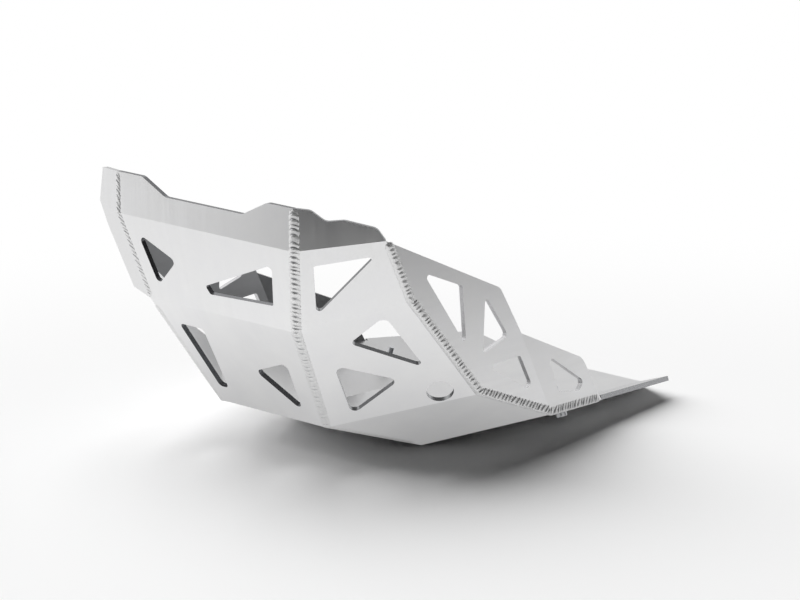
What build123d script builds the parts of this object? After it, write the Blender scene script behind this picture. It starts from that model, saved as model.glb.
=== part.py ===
from build123d import *
import os

# Welded skid plate in millimetres. X runs across, Y to the rear, Z up, with the flat belly on Z = 0.
# Every corner point is on the outside of the sheet, and the thickness goes inwards from there.

SHEET = 4.0

# Half widths of the centre strip at its folds, and of the wings
HALF_TOP = 99.0
HALF_MID = 82.2
HALF_LOW = 60.0
HALF_BELLY = 69.0
HALF_WING = 151.2

# Heights of the folds and of the rim, where a wing stands on the corner sheet
Z_TOP = 221.0
Z_FLANGE = 188.0
Z_MID = 119.5
Z_LOW = 31.0
Z_RIM = 29.0

# Stations from the front flange to the rear edge
Y_MID = 18.0
Y_LOW = 71.4
Y_RIM = 229.3
Y_WING_END = 306.0
Y_SIDE_END = 414.5
Y_END = 428.0

# How far the rim turns inwards for each millimetre to the rear
TOE_IN = 0.214

# Corner sheets: how far a fold runs to the rear for each millimetre across, at the flange, the middle and the
# bottom, and how far the flange fold rises. The far side has only the flange fold.
NEAR_SWEEP = (0.87356, 0.76377, 0.82785)
NEAR_RISE = 0.17816
FAR_SWEEP = 0.52682
FAR_RISE = -0.03831

# From here on, places are shares of a facet's width and height, and radii are multiples of the sheet's thickness.
# Wing outline: top corner and dip on the front facet, top corner on the rear facet
WING_TOP = (0.677, 0.665)
WING_TOP_RADIUS = 3.0
WING_DIP = (0.808, 0.425)
WING_REAR_TOP = (0.655, 0.547)
WING_REAR_RADIUS = 4.0

# Flange outline: the notch's depth, and its half width at the bottom and top, then the tops of the corner flanges
NOTCH_DEPTH = 0.382
NOTCH_BOTTOM = 0.439
NOTCH_TOP = 0.707
NOTCH_RADIUS = 2.0
NEAR_FLANGE_TOP = ((0.901, 0.315, 2.0), (0.552, 0.585, 2.0), (0.35, 0.606, 2.0), (0.186, 0.909, 2.0))
FAR_FLANGE_TOP = ((0.803, 0.868, 0.5),)

# Far front corner, open for an exhaust pipe: how far down the ear its joint to the wing ends, the ear's free corner,
# and how far out the gusset under the opening reaches along the bottom fold
EAR_JOINT = 0.345
EAR_LOW = (0.884, 1.023)
GUSSET_TOP = 0.72

# Cut-outs as corners with their radii. Centre strip: across from the middle, and down the band
UPPER_CUTS = (
    ((-0.808, 0.198, 1.0), (-0.414, 0.459, 1.0), (-0.687, 0.805, 1.0)),
    ((-0.121, 0.678, 0.5), (0.667, 0.252, 0.6), (0.707, 0.282, 0.6), (0.636, 0.727, 0.5), (-0.081, 0.769, 0.5)),
)
LOWER_CUTS = (
    ((-0.748, 0.213, 1.0), (-0.414, 0.213, 1.0), (-0.499, 0.832, 1.0), (-0.620, 0.832, 1.0)),
    ((0.073, 0.547, 1.1), (0.614, 0.372, 1.1), (0.499, 0.880, 1.1)),
)
# Corner sheets: along the fold from the centre seam, and down the band
CORNER_UPPER_CUTS = (((0.179, 0.205, 0.7), (0.858, 0.172, 0.45), (0.114, 0.818, 0.7)),)
CORNER_LOWER_CUTS = (
    ((0.752, 0.076, 1.5), (0.373, 0.243, 0.9), (0.873, 0.676, 0.6)),
    ((0.165, 0.414, 1.2), (0.626, 0.729, 1.2), (0.115, 0.943, 1.2)),
)
DRAIN_PLACE = (0.9004, 0.948)
# Wing front facet: to the rear, and up from the rim. Wing rear facet: along the foot, and up
WING_CUTS = (
    ((0.214, 0.820, 0.6), (0.449, 0.716, 1.0), (0.473, 0.428, 0.5)),
    ((0.585, 0.651, 0.6), (0.729, 0.428, 1.0), (0.574, 0.377, 0.5)),
    ((0.606, 0.306, 0.6), (0.802, 0.321, 0.6), (0.895, 0.125, 0.9)),
)
WING_REAR_CUTS = (((-0.006, 0.672, 0.7), (0.661, 0.282, 0.8), (0.572, 0.181, 0.8), (0.153, 0.231, 0.6)),)

# Round hole for a drain plug key
DRAIN_D = 21.6

# Weld bead: width on each sheet, crown height, ripple length, size in a dip, and place of the peak in a ripple
BEAD_REACH = 4.8
BEAD_CROWN = 2.3
RIPPLE_PITCH = 4.2
RIPPLE_DIP = 0.80
RIPPLE_LEAN = 0.72

# Mounting bolts through the sides: the thread stands inside, and a thicker neck fills the hole
BOLT_X = 99.0
BOLT_Y = 296.5
BOLT_D = 5.0
BOLT_STAND = 15.0
NECK_D = 6.0
NECK_CLEARANCE = 0.2
HEAD_FLATS = 8.0
HEAD_H = 5.0
COLLAR_D = 11.0
COLLAR_H = 1.2


def far(point):
    """The same point or direction on the far side."""
    return Vector(-point.X, point.Y, point.Z)


def same(point):
    return point


def unit(a, b):
    return (b - a).normalized()


def facing(a, b, c, hint):
    """The unit normal of the plane through three points, on the side of the hint."""
    normal = (b - a).cross(c - a).normalized()
    return normal if normal.dot(hint) > 0 else normal * -1


def facet(origin, along_to, down_to):
    """A facet's own axes, width and height: along its fold, and square to the fold as far as the third point."""
    along = unit(origin, along_to)
    plane = Plane(origin, x_dir=along, z_dir=along.cross(down_to - origin))
    return plane, (along_to - origin).length, plane.to_local_coords(down_to).Y


def place(axes, shares):
    """The point at the given shares of a facet's width and height."""
    plane, wide, high = axes
    return plane.from_local_coords(Vector(shares[0] * wide, shares[1] * high, 0))


def part_way(a, b, share):
    return a + (b - a) * share


def on_plane(a, normal, x, y=None, z=None):
    """The point with the given x and y, or x and z, in the plane through a."""
    if z is None:
        z = a.Z - (normal.X * (x - a.X) + normal.Y * (y - a.Y)) / normal.Z
    else:
        y = a.Y - (normal.X * (x - a.X) + normal.Z * (z - a.Z)) / normal.Y
    return Vector(x, y, z)


FRONT = Vector(0, -1, 0)
DOWN = Vector(0, 0, -1)
OUT = Vector(1, 0, 0)
CORNER = Vector(1, -1, 0)
KEEL = Vector(1, 0, -1)

# Near edge of the centre strip, from the top of the flange to the rear
top = Vector(HALF_TOP, 0, Z_TOP)
flange = Vector(HALF_TOP, 0, Z_FLANGE)
mid = Vector(HALF_MID, Y_MID, Z_MID)
low = Vector(HALF_LOW, Y_LOW, Z_LOW)
rim = Vector(HALF_WING, Y_RIM, Z_RIM)


def sweep(start, slope):
    """How far to the rear a fold that starts on the centre seam reaches the wing."""
    return start.Y + slope * (HALF_WING - start.X)


# Near wing edge: each corner lies in the plane of the band above it, and so does the start of the belly
flange_run = HALF_WING - HALF_TOP
near_flange = Vector(HALF_WING, sweep(flange, NEAR_SWEEP[0]), Z_FLANGE + NEAR_RISE * flange_run)
near_band = facing(flange, near_flange, mid, CORNER)
near_mid = on_plane(flange, near_band, HALF_WING, y=sweep(mid, NEAR_SWEEP[1]))
near_band = facing(mid, near_mid, low, CORNER)
near_low = on_plane(mid, near_band, HALF_WING, y=sweep(low, NEAR_SWEEP[2]))
belly = on_plane(low, facing(low, near_low, rim, DOWN), HALF_BELLY, z=0.0)
belly_end = Vector(HALF_BELLY, Y_END, 0)

# Far side: an ear in the plane of its own flange fold, and a gusset in the mirrored plane of the near lower band
far_flange = Vector(-HALF_WING, sweep(flange, FAR_SWEEP), Z_FLANGE + FAR_RISE * flange_run)
ear_out = facing(far(flange), far_flange, far(mid), FRONT)
ear_joint = on_plane(far(flange), ear_out, -HALF_WING, z=Z_FLANGE - EAR_JOINT * (Z_FLANGE - Z_MID))
ear_low = place(facet(far(flange), far_flange, far(mid)), EAR_LOW)
far_low = far(near_low)
gusset_top = part_way(far(low), far_low, GUSSET_TOP)

# The side facet rises from the keel to the rim, and the rim turns inwards to the rear
side_out = facing(belly, rim, belly_end, KEEL)
wing_end = on_plane(belly, side_out, HALF_WING - TOE_IN * (Y_WING_END - Y_RIM), y=Y_WING_END)
side_end = on_plane(belly, side_out, HALF_WING - TOE_IN * (Y_SIDE_END - Y_RIM), y=Y_SIDE_END)
keel_at_wing_end = Vector(HALF_BELLY, Y_WING_END, 0)

# A wing's front facet is measured from under the flange fold back to the rim, and from the rim up to the fold
wing_base = Vector(HALF_WING, near_flange.Y, Z_RIM)
wing_front = facet(wing_base, rim, near_flange)
wing_top = place(wing_front, WING_TOP)
wing_dip = place(wing_front, WING_DIP)
rear_out = facing(wing_dip, rim, wing_end, OUT)
wing_rear = facet(rim, wing_end, wing_dip)
wing_rear_top = place(wing_rear, WING_REAR_TOP)

# Outward normals of the centre strip's facets, from the flange to the belly
strip = [top, flange, mid, low, belly, belly_end]
strip_out = [facing(a, b, far(b), FRONT + DOWN) for a, b in zip(strip, strip[1:])]

near_side = [near_flange, near_mid, near_low, rim, wing_end]
far_side = [far_flange, ear_joint, far_low, far(rim), far(wing_end)]
near_strip = strip
far_strip = [far(p) for p in strip]


# Outward normals of the corner sheets' facets, from the flange to the side
near_out = [facing(top, flange, near_flange, CORNER)]
for k in range(1, 4):
    near_out.append(facing(strip[k], near_side[k - 1], strip[k + 1], CORNER + DOWN))
near_out.append(side_out)
far_out = [facing(far(top), far(flange), far_flange, FRONT), ear_out] + [far(n) for n in near_out[2:]]


def panel(points, out, meets=(), rounded=()):
    """A flat sheet with its outside on the points. meets holds (point, point, other outward normal) for each
    mitred edge, and rounded holds (corner, radius)."""
    sheet = extrude(make_face(Polyline(*points, close=True)), SHEET, dir=out * -1)
    for corner, radius in rounded:
        middle = corner - out * (SHEET / 2)
        sheet = fillet(sheet.edges().sort_by_distance(middle)[0], radius * SHEET)
    inside = sum(points, Vector(0, 0, 0)) / len(points)
    for a, b, other in meets:
        away = (b - a).cross(out + other).normalized()
        if away.dot(inside - a) > 0:
            away = away * -1
        sheet = split(sheet, bisect_by=Plane(a, z_dir=away), keep=Keep.BOTTOM)
    return sheet


def cut(sheet, axes, cuts):
    """Cut rounded openings through a facet. Each opening is a row of corners with their radii."""
    plane, wide, high = axes
    for corners in cuts:
        points = [Vector(x * wide, y * high) for x, y, radius in corners]
        opening = make_face(Polyline(*points, close=True))
        for point, corner in zip(points, corners):
            opening = fillet(opening.vertices().sort_by_distance(point)[0], corner[2] * SHEET)
        sheet -= extrude(plane * opening, SHEET * 2, both=True)
    return sheet


def round_hole(plane, centre, diameter):
    """A tool for a round hole through a facet, with its axis through the centre."""
    axis = Plane(centre, x_dir=plane.x_dir, z_dir=plane.z_dir)
    return extrude(axis * Circle(diameter / 2), SHEET * 2, both=True)


def flange_notch():
    """The wide shallow notch in the top edge of the centre flange."""
    depth = NOTCH_DEPTH * (Z_TOP - Z_FLANGE)
    half = NOTCH_BOTTOM * HALF_TOP
    wide = half + (NOTCH_TOP - NOTCH_BOTTOM) * HALF_TOP * (depth + SHEET) / depth
    outline = [(-wide, Z_TOP + SHEET), (-half, Z_TOP - depth), (half, Z_TOP - depth), (wide, Z_TOP + SHEET)]
    face = make_face(Polyline(*outline, close=True))
    face = fillet(face.vertices().group_by(Axis.Y)[0], NOTCH_RADIUS * SHEET)
    return extrude(Plane.XZ * face, SHEET * 2, both=True)


def centre_strip():
    """The folded strip down the middle, mitred to both corner sheets."""
    sheet = None
    for k, out in enumerate(strip_out):
        a, b = strip[k], strip[k + 1]
        meets = [(a, b, near_out[k]), (far(a), far(b), far_out[k])]
        if k > 0:
            meets.append((a, far(a), strip_out[k - 1]))
        if k < len(strip_out) - 1:
            meets.append((b, far(b), strip_out[k + 1]))
        band = panel([a, far(a), far(b), b], out, meets)
        sheet = band if sheet is None else sheet + band
    sheet -= flange_notch()
    for x in (-NOTCH_TOP * HALF_TOP, NOTCH_TOP * HALF_TOP):
        brow = sheet.edges().sort_by_distance(Vector(x, SHEET / 2, Z_TOP))[0]
        sheet = fillet(brow, NOTCH_RADIUS * SHEET)
    middle_flange, middle_mid, middle_low = Vector(0, 0, Z_FLANGE), Vector(0, Y_MID, Z_MID), Vector(0, Y_LOW, Z_LOW)
    sheet = cut(sheet, facet(middle_flange, flange, middle_mid), UPPER_CUTS)
    return cut(sheet, facet(middle_mid, mid, middle_low), LOWER_CUTS)


def corner_flange(seam, side, outs, outline):
    """The tapering flange of a corner sheet. The outline is (along the fold, height, radius)."""
    upper = [part_way(seam[1], side[0], s) + (seam[0] - seam[1]) * h for s, h, radius in outline]
    meets = [(seam[0], seam[1], strip_out[0]), (seam[1], side[0], outs[1])]
    rounded = [(point, corner[2]) for point, corner in zip(upper, outline)]
    return panel([seam[1], side[0]] + upper + [seam[0]], outs[0], meets, rounded)


def corner_sheet(seam, side, outs, put, first):
    """The facets of a corner sheet from the given one down to the side and its tail, with the bolt hole."""
    edge = seam[:5] + [put(keel_at_wing_end)]
    tail = [edge[5], side[4], put(side_end), seam[5]]
    sheet = panel(tail, outs[4], [(edge[5], seam[5], strip_out[4])])
    for k in range(first, 5):
        wing = put(OUT) if k < 4 else put(rear_out)
        meets = [(edge[k], edge[k + 1], strip_out[k]), (edge[k], side[k - 1], outs[k - 1]), (side[k - 1], side[k], wing)]
        if k < 4:
            meets.append((edge[k + 1], side[k], outs[k + 1]))
        sheet += panel([edge[k], side[k - 1], side[k], edge[k + 1]], outs[k], meets)
    seat = bolt_plane(put)
    return sheet - round_hole(seat, seat.origin, NECK_D + 2 * NECK_CLEARANCE)


def ear():
    """The far flange and the band below it, joined to the wing only at the top."""
    hinge, seam_mid = far(flange), far(mid)
    meets = [(hinge, seam_mid, strip_out[1]), (hinge, far_flange, far_out[0]), (far_flange, ear_joint, far(OUT))]
    band = panel([hinge, far_flange, ear_joint, ear_low, seam_mid], ear_out, meets)
    return corner_flange(far_strip, far_side, far_out, FAR_FLANGE_TOP) + band


def gusset():
    """The triangle between the centre seam and the bottom facet, under the opening in the far corner."""
    meets = [(far(mid), far(low), strip_out[2]), (far(low), far_low, far_out[3])]
    return panel([far(mid), gusset_top, far(low)], far_out[2], meets)


def bolt_plane(put):
    """The bolt's seat on the outside of a side facet."""
    return Plane(put(on_plane(belly, side_out, BOLT_X, y=BOLT_Y)), x_dir=(0, 1, 0), z_dir=put(side_out))


def wing_sheet(side, outs, put, front):
    """A wing: front facet and toed-in rear facet, with their cut-outs. front holds the mitres of its front edge."""
    peak, dip, foot, end, rear_top = put(wing_top), put(wing_dip), put(rim), put(wing_end), put(wing_rear_top)
    out, rear = put(OUT), put(rear_out)
    meets = front + [(side[2], foot, outs[3]), (dip, foot, rear)]
    sheet = panel([side[0], peak, dip, foot, side[2], side[1]], out, meets, [(peak, WING_TOP_RADIUS)])
    meets = [(dip, foot, out), (foot, end, outs[4])]
    sheet += panel([dip, rear_top, end, foot], rear, meets, [(rear_top, WING_REAR_RADIUS)])
    sheet = cut(sheet, facet(put(wing_base), foot, put(near_flange)), WING_CUTS)
    return cut(sheet, facet(foot, end, dip), WING_REAR_CUTS)


def bead_section(at, one, two, outward, size):
    """A bead's cross-section on a corner: its toes lie on the two sheets, with a crown between them."""
    reach = BEAD_REACH * size
    crown = BEAD_CROWN * size
    shoulder_one = at + one * (reach * 0.62) + outward * (crown * 0.62)
    shoulder_two = at + two * (reach * 0.62) + outward * (crown * 0.62)
    return [at, at + one * reach, shoulder_one, at + outward * crown, shoulder_two, at + two * reach]


def patch(a, b, c, d):
    """The flat face through four points, or two triangles where they don't lie in a plane."""
    if abs((b - a).cross(d - a).dot(c - a)) < 1e-6:
        return [Face(Wire.make_polygon([a, b, c, d], close=True))]
    return [Face(Wire.make_polygon([a, b, c], close=True)), Face(Wire.make_polygon([a, c, d], close=True))]


def skin(rings):
    """The solid inside a row of rings of points, with flat faces between them and over both ends."""
    faces = [Face(Wire.make_polygon(ring, close=True)) for ring in (rings[0], rings[-1])]
    for ring, after in zip(rings, rings[1:]):
        for i in range(len(ring)):
            faces += patch(ring[i - 1], ring[i], after[i], after[i - 1])
    return Solid(Shell(faces))


def into(a, b, inside):
    """The direction across a facet, square to its edge, towards the point inside."""
    along = unit(a, b)
    step = inside - a
    return (step - along * step.dot(along)).normalized()


def bead(path, sides, outs, lead, tail):
    """A rippled weld bead along a path, with bare lengths lead and tail at its ends. For each run, sides holds a
    point on the fold in each sheet where the run starts, and outs holds the two outward normals."""
    sections = []
    last = len(path) - 2
    for k in range(last + 1):
        a, b = path[k], path[k + 1]
        along = unit(a, b)
        one, two = into(a, b, sides[k][0]), into(a, b, sides[k][1])
        outward = (outs[k][0] + outs[k][1]).normalized()
        start = lead if k == 0 else BEAD_REACH
        length = (b - a).length - start - (tail if k == last else BEAD_REACH)
        if k > 0:
            turn = (outs[k - 1][0] + outs[k - 1][1] + outs[k][0] + outs[k][1]).normalized()
            fold_one, fold_two = unit(a, sides[k][0]), unit(a, sides[k][1])
            sections.append(bead_section(a, fold_one, fold_two, turn, 1.0))
        count = max(1, round(length / RIPPLE_PITCH))
        for i in range(count):
            trough = a + along * (start + length * i / count)
            peak = a + along * (start + length * (i + RIPPLE_LEAN) / count)
            sections.append(bead_section(trough, one, two, outward, RIPPLE_DIP))
            sections.append(bead_section(peak, one, two, outward, 1.0))
        sections.append(bead_section(a + along * (start + length), one, two, outward, RIPPLE_DIP))
    return skin(sections)


def centre_bead(seam, inner, outs, first, last, lead, tail):
    """The bead on some runs of the seam between the centre strip and a corner. inner holds a point of the corner for
    each run."""
    runs = range(first, last)
    sides = [(far(seam[k]), inner[k]) for k in runs]
    pairs = [(strip_out[k], outs[k]) for k in runs]
    return bead(seam[first:last + 1], sides, pairs, lead, tail)


def wing_bead(seam, side, outs, put, first):
    """The bead down the front edge of a wing, from the given corner, and along its foot."""
    dip = put(wing_dip)
    runs = range(first, 4)
    sides = [(seam[k + 1], dip) for k in runs]
    pairs = [(outs[k + 1], put(OUT) if k < 3 else put(rear_out)) for k in runs]
    return bead(side[first:], sides, pairs, BEAD_REACH / 2, BEAD_REACH)


def mount_bolt(put):
    """A collared hex bolt from the outside of a side facet."""
    seat = bolt_plane(put)
    neck = extrude(seat * Circle(NECK_D / 2), -SHEET)
    thread = extrude(seat.offset(-SHEET) * Circle(BOLT_D / 2), -BOLT_STAND)
    tip = thread.edges().filter_by(GeomType.CIRCLE).sort_by_distance(seat.offset(-SHEET - BOLT_STAND).origin)[0]
    collar = extrude(seat * Circle(COLLAR_D / 2), COLLAR_H)
    head = extrude(seat.offset(COLLAR_H) * RegularPolygon(HEAD_FLATS / 2, 6, major_radius=False), HEAD_H)
    return chamfer(tip, BOLT_D / 8) + neck + collar + head


centre = centre_strip()
corner_near = corner_sheet(near_strip, near_side, near_out, same, 1)
corner_near += corner_flange(near_strip, near_side, near_out, NEAR_FLANGE_TOP)
corner_near = cut(corner_near, facet(flange, near_flange, mid), CORNER_UPPER_CUTS)
near_lower = facet(mid, near_mid, low)
corner_near = cut(corner_near, near_lower, CORNER_LOWER_CUTS)
corner_near -= round_hole(near_lower[0], place(near_lower, DRAIN_PLACE), DRAIN_D)
near_front = [(near_flange, near_mid, near_out[1]), (near_mid, near_low, near_out[2])]
far_front = [(far_flange, ear_joint, ear_out)]

# Where three sheets meet in a point, the later sheet is cut back to the earlier ones
corner_near -= centre
ear_far = ear() - centre
corner_far = corner_sheet(far_strip, far_side, far_out, far, 3) + gusset() - centre - ear_far
wing_near = wing_sheet(near_side, near_out, same, near_front) - corner_near
wing_far = wing_sheet(far_side, far_out, far, far_front) - corner_far - ear_far

near_inner = [near_flange, near_flange, near_mid, near_low]
far_inner = [far_flange, far_flange, gusset_top, far_low]
short, long = BEAD_CROWN / 4, BEAD_CROWN * 4
nodes = {
    "centre_strip": centre,
    "corner_near": corner_near,
    "ear_far": ear_far,
    "corner_far": corner_far,
    "wing_near": wing_near,
    "wing_far": wing_far,
    "seam_centre_near": centre_bead(near_strip, near_inner, near_out, 0, 4, short, long),
    "seam_ear_far": centre_bead(far_strip, far_inner, far_out, 0, 2, short, short),
    "seam_gusset_far": centre_bead(far_strip, far_inner, far_out, 2, 4, BEAD_REACH * 1.5, long),
    "seam_wing_near": wing_bead(near_strip, near_side, near_out, same, 0),
    "seam_wing_far": wing_bead(far_strip, far_side, far_out, far, 2),
    "mount_bolts": Compound(children=[mount_bolt(same), mount_bolt(far)]),
}

# The origin goes to the middle of the flat belly
to_origin = Pos(0, -(belly.Y + Y_END) / 2, 0)
os.makedirs("parts", exist_ok=True)
for name, shape in nodes.items():
    export_step(to_origin * shape, f"parts/{name}.step")
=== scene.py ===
# %% [markdown]
# # A welded aluminium skid plate
# The guard is six pieces of folded sheet, joined by five hand-laid weld beads, with two bolts through its sides.
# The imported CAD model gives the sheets, and they stay as they are. This lesson adds what the solids leave plain:
# fine ripples in the welds, threads on the bolts, and finishes that look like bare metal.

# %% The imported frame
import math

import bpy
import numpy as np
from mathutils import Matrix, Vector


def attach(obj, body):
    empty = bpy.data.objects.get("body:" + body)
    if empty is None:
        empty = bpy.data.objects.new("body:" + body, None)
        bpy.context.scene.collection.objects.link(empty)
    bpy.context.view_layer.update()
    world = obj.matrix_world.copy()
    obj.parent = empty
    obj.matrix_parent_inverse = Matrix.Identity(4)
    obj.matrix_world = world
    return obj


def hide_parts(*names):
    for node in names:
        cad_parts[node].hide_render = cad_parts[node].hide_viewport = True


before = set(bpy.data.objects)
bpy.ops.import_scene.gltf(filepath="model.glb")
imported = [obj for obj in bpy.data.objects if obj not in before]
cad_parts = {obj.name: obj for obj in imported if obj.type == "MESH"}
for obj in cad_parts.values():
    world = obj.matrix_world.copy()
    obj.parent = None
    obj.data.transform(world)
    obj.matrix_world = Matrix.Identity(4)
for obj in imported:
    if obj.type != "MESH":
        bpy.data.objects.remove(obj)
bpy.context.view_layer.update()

scene = bpy.context.scene
MM = 0.001
print("pieces in the frame:", ", ".join(sorted(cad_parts)))

# %% [markdown]
# ## The camera
# The picture was taken from the front corner, a little above the plate, with a long lens, so parallel edges stay
# nearly parallel. A long lens far away is what makes the part look like a catalogue picture. The camera turns about
# a point inside the plate, and looks slightly to one side of it, as the picture is framed.

# %% Camera
VIEW_AZIMUTH = math.radians(45.07)
VIEW_ELEVATION = math.radians(13.60)
VIEW_DISTANCE = 3.2992
VIEW_PIVOT = np.array([0.0, -107.52, 91.4]) * MM
LENS_MM, SENSOR_MM = 185.58, 36.0
SEEN_TO = 100.0
FRAMED_RIGHT = 16.0 * MM
FRAMED_UP = 10.64 * MM

back = np.array([math.sin(VIEW_AZIMUTH) * math.cos(VIEW_ELEVATION),
                 -math.cos(VIEW_AZIMUTH) * math.cos(VIEW_ELEVATION), math.sin(VIEW_ELEVATION)])
right = np.array([math.cos(VIEW_AZIMUTH), math.sin(VIEW_AZIMUTH), 0.0])
up = np.cross(back, right)

camera = bpy.data.objects.new("camera", bpy.data.cameras.new("camera"))
scene.collection.objects.link(camera)
scene.camera = camera
camera.data.sensor_width = SENSOR_MM
camera.data.lens = LENS_MM
camera.data.clip_end = SEEN_TO
eye = VIEW_PIVOT + back * VIEW_DISTANCE
looked_at = VIEW_PIVOT + right * FRAMED_RIGHT + up * FRAMED_UP
camera.location = eye
camera.rotation_mode = "QUATERNION"
camera.rotation_quaternion = Vector(looked_at - eye).to_track_quat("-Z", "Y")
print("camera at", np.round(eye, 3))

# %% [markdown]
# ## Where the sheets meet
# The welds follow the edges where two sheets meet, so the edges' corner points are needed. They come from the same
# few sizes that drive the CAD model: half widths, heights and stations. A corner that isn't given lies in the plane
# of the band above it, which is how a folded sheet works.

# %% Driving sizes, in millimetres
HALF_TOP, HALF_MID, HALF_LOW, HALF_BELLY, HALF_WING = 99.0, 82.2, 60.0, 69.0, 151.2
Z_TOP, Z_FLANGE, Z_MID, Z_LOW, Z_RIM = 221.0, 188.0, 119.5, 31.0, 29.0
Y_MID, Y_LOW, Y_RIM, Y_WING_END, Y_END = 18.0, 71.4, 229.3, 306.0, 428.0
TOE_IN = 0.214
NEAR_SWEEP, NEAR_RISE = (0.87356, 0.76377, 0.82785), 0.17816
FAR_SWEEP, FAR_RISE = 0.52682, -0.03831
GUSSET_TOP = 0.72
WING_DIP = (0.808, 0.425)
FRONT, DOWN, OUT = np.array([0.0, -1, 0]), np.array([0.0, 0, -1]), np.array([1.0, 0, 0])
FAR = np.array([-1.0, 1, 1])


def unit(vector):
    """A direction of length one, for one vector or for each row of an array."""
    return vector / np.linalg.norm(vector, axis=-1, keepdims=True)


def facing(a, b, c, hint):
    """The unit normal of the plane through three points, on the side of the hint."""
    normal = unit(np.cross(b - a, c - a))
    return normal if normal @ hint > 0 else -normal


def on_plane(a, normal, x, y=None, z=None):
    """The point with the given x and y, or x and z, in the plane through a."""
    if z is None:
        z = a[2] - (normal[0] * (x - a[0]) + normal[1] * (y - a[1])) / normal[2]
    else:
        y = a[1] - (normal[0] * (x - a[0]) + normal[2] * (z - a[2])) / normal[1]
    return np.array([x, y, z])


def sweep(start, slope):
    """The station where a fold that starts on the centre seam reaches the wing."""
    return start[1] + slope * (HALF_WING - start[0])


# %% Corner points of the seams
top, flange = np.array([HALF_TOP, 0, Z_TOP]), np.array([HALF_TOP, 0, Z_FLANGE])
mid, low = np.array([HALF_MID, Y_MID, Z_MID]), np.array([HALF_LOW, Y_LOW, Z_LOW])
rim = np.array([HALF_WING, Y_RIM, Z_RIM])
flange_run = HALF_WING - HALF_TOP

near_flange = np.array([HALF_WING, sweep(flange, NEAR_SWEEP[0]), Z_FLANGE + NEAR_RISE * flange_run])
near_mid = on_plane(flange, facing(flange, near_flange, mid, OUT), HALF_WING, y=sweep(mid, NEAR_SWEEP[1]))
near_low = on_plane(mid, facing(mid, near_mid, low, OUT), HALF_WING, y=sweep(low, NEAR_SWEEP[2]))
belly = on_plane(low, facing(low, near_low, rim, DOWN), HALF_BELLY, z=0.0)
belly_end = np.array([HALF_BELLY, Y_END, 0])

far_flange = np.array([-HALF_WING, sweep(flange, FAR_SWEEP), Z_FLANGE + FAR_RISE * flange_run])
ear_out = facing(flange * FAR, far_flange, mid * FAR, FRONT)
gusset_top = (low + GUSSET_TOP * (near_low - low)) * FAR

side_out = facing(belly, rim, belly_end, OUT + DOWN)
wing_end = on_plane(belly, side_out, HALF_WING - TOE_IN * (Y_WING_END - Y_RIM), y=Y_WING_END)
wing_dip = np.array([HALF_WING, near_flange[1] + WING_DIP[0] * (Y_RIM - near_flange[1]),
                     Z_RIM + WING_DIP[1] * (near_flange[2] - Z_RIM)])
rear_out = facing(wing_dip, rim, wing_end, OUT)
origin = np.array([0, (belly[1] + Y_END) / 2, 0])

strip = np.array([top, flange, mid, low, belly])
near_side = np.array([near_flange, near_mid, near_low, rim, wing_end])
strip_out = [facing(a, b, b * FAR, FRONT + DOWN) for a, b in zip(strip, strip[1:])]
near_out = [facing(top, flange, near_flange, OUT + FRONT)]
near_out += [facing(strip[k], near_side[k - 1], strip[k + 1], OUT + FRONT + DOWN) for k in (1, 2, 3)] + [side_out]
far_out = [facing(top * FAR, flange * FAR, far_flange, FRONT), ear_out] + [out * FAR for out in near_out[2:]]

# %% [markdown]
# ## The weld beads
# A welder lays a bead as a row of small puddles, each one frozen against the last, so the bead looks like a fallen
# row of coins. It could be a texture on a plain rope, but the ripples catch light at the outline too, so here they
# are real shape. The bead is one surface with two parameters: s runs along the seam, and v goes across it from one
# toe to the other. Each ripple is a curved step in s, whose ends at the toes lie further along than its middle. A
# bead isn't the same all along: its style says how high it stands and how clear its ripples are at each corner.

# %% Along and across a seam
FOLD_BLEND = 6.0 * MM


def along_seam(s, path, run_values, fold_values):
    """Values that are constant on each straight run and turn smoothly to the fold's own value at each corner."""
    lengths = np.linalg.norm(np.diff(path, axis=0), axis=1)
    corners = np.concatenate([[0.0], np.cumsum(lengths)])
    run = np.clip(np.searchsorted(corners, s, side="right") - 1, 0, len(lengths) - 1)
    offset = np.abs(s[:, None] - corners[None, 1:-1])
    nearest = offset.argmin(axis=1)
    close = np.clip(1.0 - offset.min(axis=1) / FOLD_BLEND, 0.0, 1.0)
    weight = (close * close * (3.0 - 2.0 * close))[:, None]
    return unit(run_values[run] * (1.0 - weight) + fold_values[nearest] * weight)


def across(start, end, inside):
    """Directions across each run, in the sheet and square to the run, towards a point in the sheet."""
    run = unit(end - start)
    step = inside - start
    return unit(step - run * np.sum(step * run, axis=1, keepdims=True))


# %% Ripples
RIPPLE_PITCH = 4.1 * MM
RIPPLE_LEAN = 0.26
RIPPLE_BOW = 0.45
FALL_POWER = 1.25
FADE_START = 0.55
WANDER = ((0.22, 47.0 * MM, 0.0), (0.15, 17.3 * MM, 1.3))
UNEVEN_SHARE, UNEVEN_STEP = 0.2, 2.4


def ripple(phase):
    """Height of a ripple from 0 in the groove to 1 on the crest: a quarter sine up to the lean, then nearly straight
    down, 1 - t^FALL_POWER, to the next groove."""
    part = phase % 1.0
    rise = np.sin(0.5 * np.pi * part / RIPPLE_LEAN)
    fall = 1.0 - (np.clip(part - RIPPLE_LEAN, 0.0, 1.0) / (1.0 - RIPPLE_LEAN)) ** FALL_POWER
    return np.where(part < RIPPLE_LEAN, rise, fall)


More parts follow.
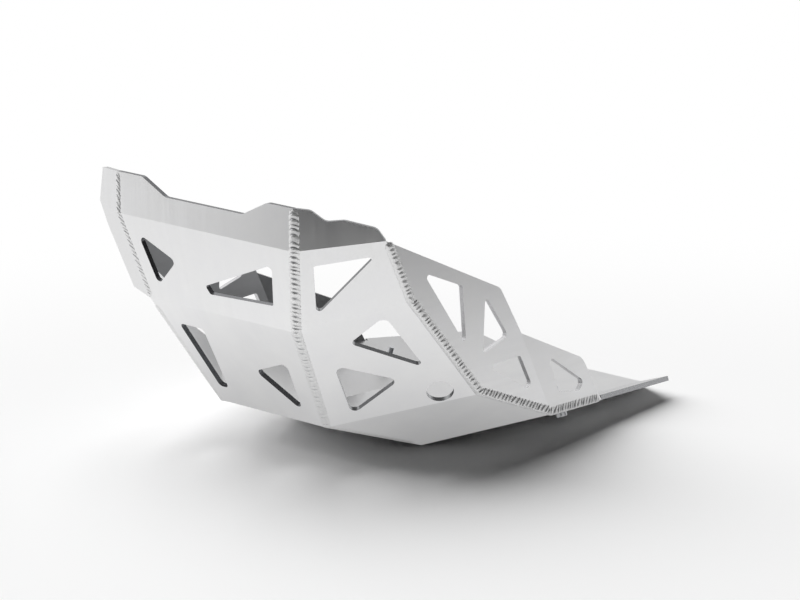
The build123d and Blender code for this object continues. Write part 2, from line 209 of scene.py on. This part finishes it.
def grooves(s, v, strength, slant, lopsided):
    """Depth below the crests: strength * (1 - ripple(s / pitch + wander - bow * v^2 - slant * v)). The wander is an
    unsteady hand, no two ripples are quite alike, and a lopsided bead has its ripples on the second sheet's side."""
    wander = sum(size * np.sin(2 * np.pi * s / length + start) for size, length, start in WANDER)
    phase = (s / RIPPLE_PITCH + wander)[:, None] - RIPPLE_BOW * v * v - slant * v
    uneven = 1.0 - UNEVEN_SHARE + UNEVEN_SHARE * np.sin(UNEVEN_STEP * np.floor(phase))
    one_sided = np.clip(1.0 + lopsided * (v - FADE_START), 0.0, 1.0)
    return (1.0 - ripple(phase)) * uneven * strength[:, None] * one_sided


# %% The bead surface
BEAD_CROWN, BEAD_SINK, BEAD_ROOT = 1.9 * MM, 0.25 * MM, 0.9 * MM
GROOVE_DEPTH = 0.42
TOE_SCALLOP = 0.16
CROWN_POWER = 0.6
SPREAD_SOFTNESS = 0.2
END_ROUND, END_LEAST = 5.0 * MM, 0.002
ROWS_PER_RIPPLE = 11
ACROSS = 19


def bead_grid(path, one_side, two_side, outs, bare, reach, slant, strength, fullness, lopsided=0.0):
    """Points of a bead: place on the seam + swell * (a(v) * one sheet + b(v) * other sheet)
    + crown * (1 - v^2)^CROWN_POWER * outward, where swell and crown shrink in each groove and at the rounded ends.
    Bare is the length without weld at each end. Reach is how far the bead goes onto each sheet. Slant is how far each
    ripple leads on the second sheet, in pitches. Strength is how clear the ripples are, and fullness is how high the
    bead stands, at each corner of the path. Lopsided is how fast the ripples fade towards the first sheet."""
    start, end = path[:-1], path[1:]
    lengths = np.linalg.norm(end - start, axis=1)
    total = lengths.sum()
    s = np.linspace(bare[0], total - bare[1], int((total - sum(bare)) / RIPPLE_PITCH * ROWS_PER_RIPPLE))
    v = np.sin(np.linspace(-0.5 * np.pi, 0.5 * np.pi, ACROSS))[None, :]
    corners = np.concatenate([[0.0], np.cumsum(lengths)])
    place = np.stack([np.interp(s, corners, path[:, axis]) for axis in range(3)], axis=1)

    turns = unit(outs[:-1] + outs[1:])
    one = along_seam(s, path, across(start, end, one_side), unit(one_side[1:] - start[1:]))
    two = along_seam(s, path, across(start, end, two_side), unit(two_side[1:] - start[1:]))
    outward = along_seam(s, path, outs, turns)

    to_end = np.clip(np.minimum(s - s[0], s[-1] - s) / END_ROUND, END_LEAST, 1.0)
    size = np.sqrt(1.0 - (1.0 - to_end) ** 2)[:, None]
    dome = np.clip(1.0 - v * v, 0.0, 1.0)
    groove = grooves(s, v, np.interp(s, corners, strength), slant, lopsided)
    swell = size * (1.0 - TOE_SCALLOP * groove)
    groove = groove * np.sqrt(dome)
    stand = BEAD_CROWN * size * np.interp(s, corners, fullness)[:, None]
    crown = stand * (1.0 - GROOVE_DEPTH * groove) * dome ** CROWN_POWER

    soft = np.sqrt(v * v + SPREAD_SOFTNESS ** 2)
    to_one, to_two = (soft - v) / 2 * reach[0], (soft + v) / 2 * reach[1]
    spread = to_one[..., None] * one[:, None] + to_two[..., None] * two[:, None]
    points = place[:, None] + swell[..., None] * spread + (crown - BEAD_SINK)[..., None] * outward[:, None]
    root = place - outward * BEAD_ROOT * size
    return np.concatenate([points, root[:, None]], axis=1), np.concatenate([groove, groove[:, :1]], axis=1)


# %% From a grid to a mesh
def add_piece(name, points, faces):
    """A mesh object at the origin, linked to the scene."""
    mesh = bpy.data.meshes.new(name)
    mesh.from_pydata(points, [], faces)
    piece = bpy.data.objects.new(name, mesh)
    scene.collection.objects.link(piece)
    return piece


def closed_tube(name, grid, groove=None):
    """A closed mesh from a grid of rings: quads between the rings and one face over each end, turned outwards."""
    rows, ring = grid.shape[:2]
    index = np.arange(rows * ring).reshape(rows, ring)
    after = np.roll(index, -1, axis=1)
    quads = np.stack([index[:-1], after[:-1], after[1:], index[1:]], axis=-1).reshape(-1, 4)
    points = grid.reshape(-1, 3)
    a, b, c, d = (points[quads[:, k]] - points.mean(axis=0) for k in range(4))
    volume = np.sum(a * np.cross(b, c)) + np.sum(a * np.cross(c, d))
    caps = [index[0, ::-1], index[-1]]
    if volume < 0:
        quads = quads[:, ::-1]
        caps = [index[0], index[-1, ::-1]]
    piece = add_piece(name, points.tolist(), quads.tolist() + [cap.tolist() for cap in caps])
    piece.data.shade_smooth()
    if groove is not None:
        depths = piece.data.attributes.new("groove", "FLOAT", "POINT")
        depths.data.foreach_set("value", groove.ravel().astype(np.float32))
    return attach(piece, "root")


# %% Five beads
def to_frame(points):
    """Driving millimetres to the frame's metres, with the origin in the middle of the belly."""
    return (np.asarray(points) - origin) * MM


def lay_bead(name, node, path, one_side, two_side, one_out, two_out, **style):
    """One bead along a path, in place of the CAD node, with the style that bead_grid describes."""
    outs = unit(np.array(one_out) + np.array(two_out))
    grid, groove = bead_grid(to_frame(path), to_frame(one_side), to_frame(two_side), outs, **style)
    bead = closed_tube(name, grid, groove)
    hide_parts(node)
    print(name, len(bead.data.polygons), "faces")
    return bead


SHORT, ROOM, LONG = 0.6 * MM, 2.4 * MM, 9.0 * MM
far_strip, far_rim = strip * FAR, near_side[2:] * FAR
near_inner = np.array([near_flange, near_flange, near_mid, near_low])
wing_out = [OUT, OUT, OUT, rear_out]
wing_style = dict(bare=(ROOM, ROOM * 1.5), reach=(2.8 * MM, 6.2 * MM), slant=0.3, lopsided=0.9)
beads = [
    lay_bead("bead_centre_near", "seam_centre_near", strip, far_strip[:4], near_inner, strip_out, near_out[:4],
             bare=(SHORT, LONG), reach=(5.2 * MM, 4.8 * MM), slant=-0.05,
             strength=(1.1, 1.2, 1.0, 0.75, 0.65), fullness=(1.0, 1.0, 0.95, 0.32, 0.28)),
    lay_bead("bead_ear_far", "seam_ear_far", far_strip[:3], strip[:2], [far_flange, far_flange], strip_out[:2],
             far_out[:2], bare=(SHORT, SHORT), reach=(4.2 * MM, 4.2 * MM), slant=-0.3,
             strength=(1.2, 1.1, 1.0), fullness=(0.5, 0.5, 0.6)),
    lay_bead("bead_gusset_far", "seam_gusset_far", far_strip[2:], strip[2:4], [gusset_top, near_low * FAR],
             strip_out[2:], far_out[2:4], bare=(ROOM * 3, LONG), reach=(3.5 * MM, 3.5 * MM), slant=-0.3,
             strength=(0.5, 0.4, 0.4), fullness=(0.7, 0.5, 0.4)),
    lay_bead("bead_wing_near", "seam_wing_near", near_side, strip[1:], [wing_dip] * 4, near_out[1:], wing_out,
             strength=(1.0, 1.0, 1.0, 1.4, 1.5), fullness=(1.0, 1.0, 1.0, 1.0, 1.0), **wing_style),
    lay_bead("bead_wing_far", "seam_wing_far", far_rim, far_strip[3:], [wing_dip * FAR] * 2, far_out[3:],
             [out * FAR for out in wing_out[2:]], strength=(1.0, 1.4, 1.5), fullness=(1.0, 1.0, 1.0),
             **wing_style),
]

# %% [markdown]
# ## The bolts
# Each side is held by a small bolt, with its head outside and its thread standing inside. A real thread is a ridge
# that climbs as it turns, so the radius depends on both the angle and the height. The hexagon works the same way:
# the radius at each angle is the distance to the flat, cut off by a circle where the corners are chamfered.

# %% Bolt sizes, in millimetres
BOLT_X, BOLT_Y = 99.0, 296.5
SHEET = 4.0
THREAD_R, THREAD_PITCH, THREAD_DEPTH, THREAD_STAND = 2.5, 0.8, 0.42, 15.0
THREAD_RUNOUT, THREAD_TIP, RINGS_PER_PITCH = 0.7, 0.8, 8
NECK_R, COLLAR_R, COLLAR_H, HEAD_FLATS, HEAD_H = 3.0, 5.5, 1.2, 8.0, 5.0
HEAD_TOP_R, HEAD_CHAMFER, HEAD_FOOT, COLLAR_BREAK = 3.7, 0.5, 0.05, 0.25
STEPS_PER_TURN = 60
TURN = np.linspace(0.0, 2 * np.pi, STEPS_PER_TURN, endpoint=False)
SHARP_EDGE = math.radians(38)


def bolt_grid():
    """Rings (radius by angle, height) from the head's top to the thread's tip, in millimetres from the seat."""
    flat = HEAD_FLATS / 2 / np.cos((TURN + np.pi / 6) % (np.pi / 3) - np.pi / 6)
    corner = HEAD_FLATS / 2 / math.cos(math.pi / 6)
    head_top = COLLAR_H + HEAD_H
    head = [(HEAD_TOP_R, head_top), (corner, head_top - HEAD_CHAMFER), (corner, COLLAR_H + HEAD_FOOT)]
    rings = [(np.minimum(flat, limit), height) for limit, height in head]
    collar = [(COLLAR_R - COLLAR_BREAK, COLLAR_H), (COLLAR_R, COLLAR_H - COLLAR_BREAK), (COLLAR_R, 0.0),
              (NECK_R, 0.0), (NECK_R, -SHEET)]
    rings += [(np.full_like(TURN, radius), height) for radius, height in collar]
    tip = -SHEET - THREAD_STAND
    for height in np.arange(-SHEET, tip, -THREAD_PITCH / RINGS_PER_PITCH):
        climb = (height / THREAD_PITCH - TURN / (2 * np.pi)) % 1.0
        full = np.clip((height - tip) / THREAD_RUNOUT, 0.0, 1.0)
        ridge = THREAD_R * (THREAD_TIP + (1.0 - THREAD_TIP) * full)
        rings.append((ridge - THREAD_DEPTH * np.abs(2 * climb - 1) * full, height))
    radii, heights = zip(*rings)
    return np.stack(radii), np.array(heights)


# %% Bolts
radius, height = bolt_grid()
along_y = np.array([0.0, 1, 0])
bolts = []
for where, mirror in (("near", np.ones(3)), ("far", FAR)):
    axis = side_out * mirror
    seat = on_plane(belly, side_out, BOLT_X, y=BOLT_Y) * mirror
    ring = np.cos(TURN)[:, None] * along_y + np.sin(TURN)[:, None] * np.cross(axis, along_y)
    grid = seat + radius[..., None] * ring[None] + height[:, None, None] * axis
    bolt = closed_tube(f"bolt_{where}", to_frame(grid))
    bolt.data.set_sharp_from_angle(angle=SHARP_EDGE)
    bolts.append(bolt)
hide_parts("mount_bolts")
print("bolts", [len(bolt.data.polygons) for bolt in bolts], "faces")

# %% [markdown]
# ## Finishes
# Everything here is bare metal, so what the eye sees is mostly the surroundings, blurred by the surface. Bare
# rolled aluminium is pale and satin: fine rolling lines and a tumbled, slightly cloudy surface spread the
# reflections. The laser leaves the cut edges duller and darker, and their greys are set per piece as painted light
# and shade: painted shade on the strip and the far corner, lighter painted shade on the near corner, and painted
# light on the ear and the wings. Inside, the wings are a darker grey, which is painted shade. The welds are brighter,
# with dark oxide in the grooves. A colour is written as a hex value from a colour picker and turned to linear light
# by one function.

# %% Colour and node helpers
WHITE = "FFFFFF"


def linear(hex_colour):
    """An sRGB hex colour as linear light, with full opacity."""
    channel = np.array([int(hex_colour[k:k + 2], 16) for k in (0, 2, 4)]) / 255.0
    light = np.where(channel <= 0.04045, channel / 12.92, ((channel + 0.055) / 1.055) ** 2.4)
    return (*light.tolist(), 1.0)


def add(tree, kind, inputs=None, **settings):
    """Adds one node. Settings are its own properties, and inputs are socket values or the sockets that feed it."""
    made = tree.nodes.new(kind)
    for name, value in settings.items():
        setattr(made, name, value)
    for name, value in (inputs or {}).items():
        if isinstance(value, bpy.types.NodeSocket):
            tree.links.new(value, made.inputs[name])
        else:
            made.inputs[name].default_value = value
    return made


# %% Patterns and metal
def new_material(name):
    """An empty material and its node tree."""
    material = bpy.data.materials.new(name)
    material.use_nodes = True
    material.node_tree.nodes.clear()
    return material, material.node_tree


def place(tree):
    """The place on the object, in metres."""
    return add(tree, "ShaderNodeTexCoord").outputs["Object"]


def combine(tree, operation, one, two):
    """The sum, product, larger one or comparison of two values."""
    return add(tree, "ShaderNodeMath", {0: one, 1: two}, operation=operation).outputs[0]


def noise(tree, where, size, detail):
    """A noise pattern with features of the given size, in metres."""
    return add(tree, "ShaderNodeTexNoise", {"Vector": where, "Scale": 1.0 / size, "Detail": detail}).outputs["Fac"]


def ramp(tree, value, stops):
    """A colour that follows a value, from stops with a place and a hex colour."""
    made = add(tree, "ShaderNodeValToRGB", {"Fac": value})
    elements = made.color_ramp.elements
    while len(elements) < len(stops):
        elements.new(0.5)
    for element, (position, colour) in zip(elements, stops):
        element.position = position
        element.color = linear(colour)
    return made.outputs["Color"]


def mapped(tree, value, low, high, start=0.0, stop=1.0, blend="LINEAR"):
    """Goes from low to high while a value goes from start to stop."""
    inputs = {"Value": value, "From Min": start, "From Max": stop, "To Min": low, "To Max": high}
    return add(tree, "ShaderNodeMapRange", inputs, interpolation_type=blend).outputs["Result"]


def metal(tree, colour, metallic, roughness, relief=None):
    """Puts a metal shader on the material's surface. Relief is a height pattern, its strength and its depth."""
    inputs = {"Base Color": colour, "Metallic": metallic, "Roughness": roughness}
    shader = add(tree, "ShaderNodeBsdfPrincipled", inputs)
    if relief:
        height, strength, depth = relief
        bump = add(tree, "ShaderNodeBump", {"Height": height, "Strength": strength, "Distance": depth})
        tree.links.new(bump.outputs["Normal"], shader.inputs["Normal"])
    add(tree, "ShaderNodeOutputMaterial", {"Surface": shader.outputs["BSDF"]})


# %% Satin aluminium sheet
GRAIN, GRAIN_STRETCH = 1.3 * MM, 60
CLOUD = 34.0 * MM
SPECK = 2.2 * MM
CLOUDINESS = 0.6, 1.4
SATIN_STRENGTH, SATIN_DEPTH = 0.05, 0.2 * MM


def satin_aluminium(name, grain_across, dark="EDEDEE", light="F4F4F4", roughness=(0.36, 0.50)):
    """Rolled aluminium sheet, tumbled: pale, satin, with faint rolling lines across the given axes and soft clouds.
    Real rolling lines are about 0.1 mm apart, so they are drawn coarser to show at all."""
    material, tree = new_material(name)
    where = place(tree)
    stretch = tuple(1.0 / GRAIN if axis else 1.0 / (GRAIN_STRETCH * GRAIN) for axis in grain_across)
    lines_at = add(tree, "ShaderNodeMapping", {"Vector": where, "Scale": stretch}).outputs["Vector"]
    lines = noise(tree, lines_at, size=1.0, detail=3.0)
    clouds = noise(tree, where, CLOUD, detail=4.0)
    specks = noise(tree, where, SPECK, detail=2.0)
    colour = ramp(tree, clouds, [(0.30, dark), (0.70, light)])
    rough = mapped(tree, combine(tree, "ADD", clouds, lines), *roughness, *CLOUDINESS)
    metal(tree, colour, 1.0, rough, (combine(tree, "ADD", lines, specks), SATIN_STRENGTH, SATIN_DEPTH))
    return material


# %% Cut edge
STRIATION = 0.7 * MM
EDGE_ROUGHNESS = 0.26
EDGE_STRENGTH, EDGE_DEPTH = 0.15, 0.1 * MM


def cut_edge(name, dark, light):
    """A cut aluminium edge: duller than the rolled face, with fine marks from the cut. Its greys, given per piece,
    are partly its own duller finish and partly painted: painted shade where they are dark, painted light where pale.
    """
    material, tree = new_material(name)
    where = place(tree)
    marks = noise(tree, where, STRIATION, detail=2.0)
    colour = ramp(tree, marks, [(0.35, dark), (0.65, light)])
    metal(tree, colour, 1.0, EDGE_ROUGHNESS, (marks, EDGE_STRENGTH, EDGE_DEPTH))
    return material


# %% Weld metal and zinc plate
PORE = 0.8 * MM
PORE_STRENGTH, PORE_DEPTH = 0.12, 0.15 * MM
OXIDE = [(0.45, "EEEEEE"), (0.75, "A8A9AB"), (0.98, "46474B")]
WELD_METALLIC, WELD_ROUGHNESS = 0.55, (0.30, 0.55)
PATCH = 1.6 * MM
ZINC_ROUGHNESS = 0.24, 0.42


def weld_metal(name):
    """Fresh weld aluminium: bright on the crests, with dark oxide caught in the grooves between the ripples."""
    material, tree = new_material(name)
    where = place(tree)
    groove = add(tree, "ShaderNodeAttribute", attribute_name="groove").outputs["Fac"]
    pores = noise(tree, where, PORE, detail=3.0)
    rough = mapped(tree, groove, *WELD_ROUGHNESS)
    metal(tree, ramp(tree, groove, OXIDE), WELD_METALLIC, rough, (pores, PORE_STRENGTH, PORE_DEPTH))
    return material


def zinc_plate(name):
    """Bright zinc plate on steel: a cool grey, with small cloudy patches where the plating is duller."""
    material, tree = new_material(name)
    where = place(tree)
    patches = noise(tree, where, PATCH, detail=3.0)
    colour = ramp(tree, patches, [(0.35, "D8DADD"), (0.65, "EAEBED")])
    metal(tree, colour, 1.0, mapped(tree, patches, *ZINC_ROUGHNESS))
    return material


# %% The finishes
strip_finish = satin_aluminium("satin_rolled_aluminium_strip", (True, False, False), roughness=(0.31, 0.44))
corner_finish = satin_aluminium("satin_rolled_aluminium_corner", (True, True, False))
wing_finish = satin_aluminium("satin_rolled_aluminium_wing", (False, False, True))
# The inner faces of the wings get the same sheet in a darker grey: painted shade.
painted_shade_inside_finish = satin_aluminium("aluminium_inside_painted_shade", (False, False, True), "B0B1B3", "BCBDBF")
# The three edge greys are partly the cut edge's own dull finish and partly painted: painted shade on the strip and
# the far corner, lighter painted shade on the near corner, painted light on the ear and the wings.
dark_edge_painted_shade = cut_edge("cut_edge_dark_painted_shade", "7A7B7E", "96979A")
mid_edge_painted_shade = cut_edge("cut_edge_mid_painted_shade", "9A9B9D", "B4B5B7")
pale_edge_painted_light = cut_edge("cut_edge_pale_painted_light", "D6D6D8", "E4E4E5")
weld_finish = weld_metal("rippled_weld_aluminium")
bolt_finish = zinc_plate("zinc_plated_steel")
print("finishes:", ", ".join(sorted(material.name for material in bpy.data.materials)))

# %% Finishes on the pieces
SMALLEST_FACET = 900 * MM * MM
SAME_WAY = math.cos(math.radians(1.0))
SAME_PLANE = 0.5 * MM
INWARD = math.cos(math.radians(30.0))
PAINTED_SHADE_SLOT = 2


def face_normals(mesh):
    """The unit normal of each triangle, one row each."""
    normals = np.empty(len(mesh.polygons) * 3, np.float32)
    mesh.polygons.foreach_get("normal", normals)
    return normals.reshape(-1, 3)


def flat_areas(mesh):
    """For each triangle, the whole area of the mesh that lies in the same plane. Only the cut edges are small."""
    count = len(mesh.polygons)
    centres, areas = np.empty(count * 3, np.float32), np.empty(count, np.float32)
    mesh.polygons.foreach_get("center", centres)
    mesh.polygons.foreach_get("area", areas)
    normals = face_normals(mesh)
    offsets = np.sum(normals * centres.reshape(-1, 3), axis=1)
    same_plane = np.abs(offsets[:, None] - offsets[None]) < SAME_PLANE
    return ((normals @ normals.T > SAME_WAY) & same_plane) @ areas


# The rim greys per piece are painted shade on the darker rims and painted light on the pale ones.
finishes = {"centre_strip": (strip_finish, dark_edge_painted_shade), "corner_near": (corner_finish, mid_edge_painted_shade),
            "ear_far": (corner_finish, pale_edge_painted_light), "corner_far": (corner_finish, dark_edge_painted_shade),
            "wing_near": (wing_finish, pale_edge_painted_light), "wing_far": (wing_finish, pale_edge_painted_light)}
inside = {"wing_near": -OUT, "wing_far": OUT}
for name, (face_finish, edge_painted_tone) in finishes.items():
    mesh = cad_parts[name].data
    mesh.materials.clear()
    mesh.materials.append(face_finish)
    mesh.materials.append(edge_painted_tone)
    edges = flat_areas(mesh) < SMALLEST_FACET
    slots = edges.astype(np.int32)
    # Inner faces of the wings take the darker sheet, which is painted shade.
    if name in inside:
        mesh.materials.append(painted_shade_inside_finish)
        slots[~edges & (face_normals(mesh) @ inside[name] > INWARD)] = PAINTED_SHADE_SLOT
    mesh.polygons.foreach_set("material_index", slots)
    print(name, int(edges.sum()), "of", len(edges), "triangles are cut edges")
for piece in beads:
    piece.data.materials.append(weld_finish)
for piece in bolts:
    piece.data.materials.append(bolt_finish)

# %% [markdown]
# ## Floor, light and surroundings
# The plate lies on a pale floor that goes over into a white background. Bare metal shows its surroundings, so a
# studio for metal uses a bright floor and dark flags: black cloth out of the picture, which gives the facets that
# look at it their depth. Here the walls are white with a pale grey foot, the ceiling is grey, and one flag lies in
# front of the plate. The camera sees none of this: it sees the floor and plain white. Where the metal sees the floor,
# it sees a painted reflection instead: painted shade under the plate, and glowing white from close by.

# %% What each ray sees
ANY_BOUNCE = 0.5


def seen_rays(tree):
    """1 for the camera's rays, and 1 for rays that reach the eye by metal or glass alone. Light that goes on to the
    floor is left out, so that the white doesn't fill the shadow."""
    rays = add(tree, "ShaderNodeLightPath").outputs
    by_metal = combine(tree, "MAXIMUM", rays["Is Glossy Ray"], rays["Is Transmission Ray"])
    off_floor = combine(tree, "LESS_THAN", rays["Diffuse Depth"], ANY_BOUNCE)
    return rays["Is Camera Ray"], combine(tree, "MULTIPLY", by_metal, off_floor)


def glow(tree, colour):
    """A surface that shows a plain colour, as written."""
    return add(tree, "ShaderNodeEmission", {"Color": colour, "Strength": 1.0}).outputs["Emission"]


def backdrop(tree, colour):
    """Surroundings that show a plain colour, as written."""
    return add(tree, "ShaderNodeBackground", {"Color": colour, "Strength": 1.0}).outputs["Background"]


def mix(tree, share, one, two):
    """One shader that goes over into another as the share goes from 0 to 1."""
    return add(tree, "ShaderNodeMixShader", {0: share, 1: one, 2: two}).outputs["Shader"]


def stage_piece(name, points, faces, material):
    """A piece of the studio, which is no part of the plate."""
    piece = add_piece(name, points, faces)
    piece.data.materials.append(material)
    print(name, len(faces), "faces")
    return piece


# %% Floor
FLOOR_HALF = 8.0
FLOOR_PAINT = "F8F8F8"
FADE_CENTRE, FADE_FROM, FADE_TO = (0.30, -0.30, 0.0), 0.50, 1.1
# Where the metal sees the floor it sees a painted reflection: painted shade grey near the plate, glowing white
# beyond.
SHEEN_CENTRE, SHEEN_FROM, SHEEN_TO = (-0.03, -0.045, 0.0), 0.09, 0.29
PAINTED_SHADE_GREY = "8C8C8C"


def from_point(tree, where, point):
    """The distance from a point on the floor."""
    return add(tree, "ShaderNodeVectorMath", {0: where, 1: point}, operation="DISTANCE").outputs["Value"]


def floor_paint():
    """Pale matt floor paint, which goes over into plain white away from the plate. Metal sees a painted reflection of
    the floor instead: a glowing grey under the plate, which is painted shade, going over into glowing white from
    close by, so that the camera keeps the shadow and the metal keeps its bright floor."""
    material, tree = new_material("pale_floor_with_painted_reflection")
    where = place(tree)
    camera_rays, mirrored = seen_rays(tree)
    fade = mapped(tree, from_point(tree, where, FADE_CENTRE), 0.0, 1.0, FADE_FROM, FADE_TO, "SMOOTHSTEP")
    paint = add(tree, "ShaderNodeBsdfDiffuse", {"Color": linear(FLOOR_PAINT)}).outputs["BSDF"]
    by_eye = mix(tree, combine(tree, "MULTIPLY", fade, camera_rays), paint, glow(tree, linear(WHITE)))
    sheen = mapped(tree, from_point(tree, where, SHEEN_CENTRE), 0.0, 1.0, SHEEN_FROM, SHEEN_TO)
    painted_reflection = glow(tree, ramp(tree, sheen, [(0.0, PAINTED_SHADE_GREY), (1.0, WHITE)]))
    add(tree, "ShaderNodeOutputMaterial", {"Surface": mix(tree, mirrored, by_eye, painted_reflection)})
    return material


square = [(-FLOOR_HALF, -FLOOR_HALF, 0), (FLOOR_HALF, -FLOOR_HALF, 0), (FLOOR_HALF, FLOOR_HALF, 0),
          (-FLOOR_HALF, FLOOR_HALF, 0)]
stage_piece("floor", square, [(0, 1, 2, 3)], floor_paint())

# %% Dark flag cloth
FLAG_FROM, FLAG_TO, FLAG_COLUMNS = math.radians(-120), math.radians(62), 49
FLAG_PROFILE = [(0.72, 0.004), (0.95, 0.004), (3.0, 0.004), (3.3, 0.3), (3.4, 2.4)]
FLAG_GREY = "3C3C3C"


def flag_grid():
    """Points of a profile turned about the plate: (r cos a, r sin a, h). Radius r and height h come from the list of
    bends, and the angle a runs from the front left, past the camera, to the right."""
    turn = np.linspace(FLAG_FROM, FLAG_TO, FLAG_COLUMNS)[:, None]
    radius, height = np.array(FLAG_PROFILE).T
    x, y = radius * np.cos(turn), radius * np.sin(turn)
    return np.stack([x, y, np.broadcast_to(height, x.shape)], axis=-1)


points = flag_grid()
index = np.arange(points[..., 0].size).reshape(points.shape[:2])
quads = np.stack([index[:-1, :-1], index[1:, :-1], index[1:, 1:], index[:-1, 1:]], axis=-1).reshape(-1, 4)
cloth, tree = new_material("black_flag_cloth")
add(tree, "ShaderNodeOutputMaterial", {"Surface": glow(tree, linear(FLAG_GREY))})
flag = stage_piece("flag_cloth", points.reshape(-1, 3).tolist(), quads.tolist(), cloth)
flag.visible_camera = False
flag.visible_shadow = False
flag.visible_diffuse = False

# %% Light
SUN_FROM = Vector((-0.95, 0.0, 1.0))
SUN_SPREAD = math.radians(80)
SUN_STRENGTH = 4.15

sun = bpy.data.objects.new("softbox", bpy.data.lights.new("softbox", "SUN"))
scene.collection.objects.link(sun)
sun.data.energy = SUN_STRENGTH
sun.data.angle = SUN_SPREAD
sun.rotation_mode = "QUATERNION"
sun.rotation_quaternion = SUN_FROM.to_track_quat("Z", "Y")
sun.visible_glossy = False
print("soft light of strength", SUN_STRENGTH)

# %% White walls and a grey ceiling
WALL_LEAN = (0.4, 0.0, 1.0)
WALL_WHITE_FROM, WALL_TOP, CEILING_FROM = 0.28, 0.45, 0.75
WALL_FOOT_GREY, CEILING_GREY = "C6C6C6", "6A6A6A"
FILL_GREY = "343434"

world = bpy.data.worlds.new("studio")
scene.world = world
world.use_nodes = True
sky = world.node_tree
sky.nodes.clear()
ways = add(sky, "ShaderNodeTexCoord").outputs["Generated"]
rise = add(sky, "ShaderNodeVectorMath", {0: ways, 1: WALL_LEAN}, operation="DOT_PRODUCT").outputs["Value"]
walls = ramp(sky, rise, [(0.0, WALL_FOOT_GREY), (WALL_WHITE_FROM, WHITE), (WALL_TOP, WHITE),
                         (CEILING_FROM, CEILING_GREY)])
camera_rays, mirrored = seen_rays(sky)
lit = mix(sky, mirrored, backdrop(sky, linear(FILL_GREY)), backdrop(sky, walls))
seen = mix(sky, camera_rays, lit, backdrop(sky, linear(WHITE)))
add(sky, "ShaderNodeOutputWorld", {"Surface": seen})
print("studio walls from", len(sky.nodes), "nodes")

scene.view_settings.view_transform = "Standard"
